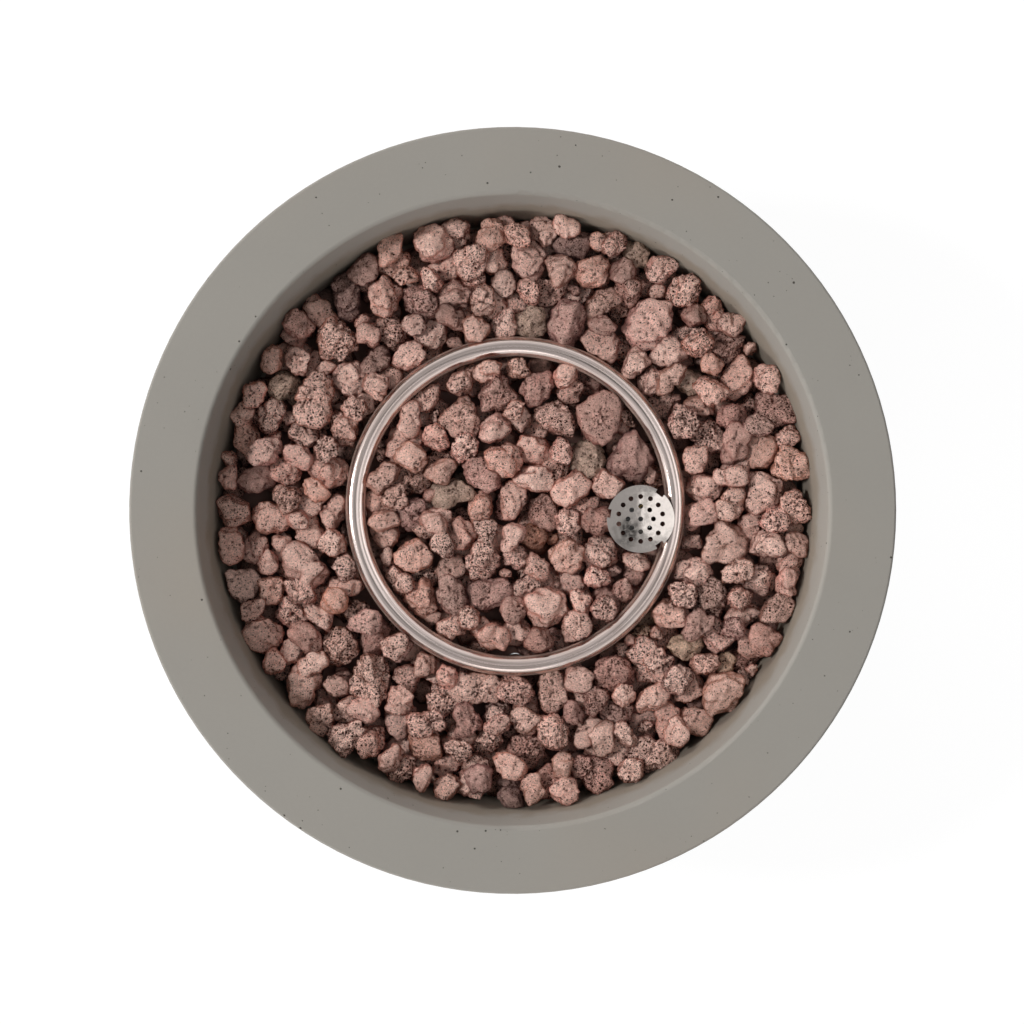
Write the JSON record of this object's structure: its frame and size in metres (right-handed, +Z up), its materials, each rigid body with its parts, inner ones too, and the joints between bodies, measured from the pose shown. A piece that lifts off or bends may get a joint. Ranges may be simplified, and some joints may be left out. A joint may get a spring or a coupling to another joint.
{
  "type": "propane fire bowl",
  "caption": "Round cast-concrete propane fire bowl with lava rocks on a pan, a ring burner, a perforated igniter cap, and a side pocket with gas knob and igniter button.",
  "frame": {"origin": "on the ground under the centre of the bowl", "axes": "+Z up, -Y towards the user at the controls, +Y towards the gas inlet"},
  "size_m": [0.7109, 0.711, 0.33],
  "materials": {
    "concrete": "smooth matte cast concrete with fine pinholes",
    "lava_rock": "rough porous volcanic stone",
    "polished_steel": "polished stainless steel",
    "pan_steel": "brushed stainless sheet",
    "zinc_steel": "zinc-plated steel",
    "brass": "machined brass",
    "aluminium_tube": "drawn aluminium tube",
    "copper": "bare copper",
    "black_plastic": "matte black heat-resistant plastic",
    "rubber": "black rubber",
    "silicone": "red silicone insulation",
    "ceramic": "white alumina"
  },
  "bodies": {
    "fire_bowl": {"bowl_casting": "concrete", "rubber_feet": "rubber", "foot_screws": "zinc_steel", "burner_pan": "pan_steel", "pan_screws": "zinc_steel", "burner_ring": "polished_steel", "burner_legs": "pan_steel", "burner_screws": "zinc_steel", "burner_nuts": "zinc_steel", "mixer_tube": "polished_steel", "gas_orifice": "brass", "guard_cap": "polished_steel", "guard_sleeve": "pan_steel", "igniter_bracket": "pan_steel", "electrode_insulator": "ceramic", "electrode_rod": "zinc_steel", "thermocouple_probe": "zinc_steel", "thermocouple_nut": "brass", "control_panel": "pan_steel", "panel_screws": "zinc_steel", "valve_bonnet": "brass", "valve_body": "brass", "valve_screws": "zinc_steel", "safety_magnet": "brass", "magnet_nut": "brass", "igniter_body": "black_plastic", "igniter_locknut": "zinc_steel", "button_spring": "zinc_steel", "inlet_fitting": "brass", "inlet_locknut": "brass", "supply_tube": "aluminium_tube", "supply_tube_nuts": "brass", "inlet_tube": "aluminium_tube", "valve_inlet_nut": "brass", "fitting_nut": "brass", "thermocouple_lead": "copper", "ignition_wire": "silicone", "lava_rocks_inner": "lava_rock", "lava_rocks_outer": "lava_rock"},
    "valve_plug": {"valve_plug": "brass", "stem_spring": "zinc_steel"},
    "control_knob": {"control_knob": "black_plastic", "valve_stem": "brass"},
    "igniter_button": {"igniter_button": "black_plastic"}
  },
  "joints": [
    {"name": "knob_turn", "type": "hinge", "parent": "fire_bowl", "child": "valve_plug", "pos_m": [-0.024, -0.28591, 0.15], "axis": [0, -1, 0], "range_deg": [0, 180]},
    {"name": "knob_push", "type": "slide", "parent": "valve_plug", "child": "control_knob", "axis": [0, 1, 0], "range_m": [0, 0.005], "stiffness_N_per_m": 1500, "deforming": ["stem_spring"]},
    {"name": "igniter_press", "type": "slide", "parent": "fire_bowl", "child": "igniter_button", "axis": [0, 1, 0], "range_m": [0, 0.006], "stiffness_N_per_m": 1200, "deforming": ["button_spring"]}
  ]
}
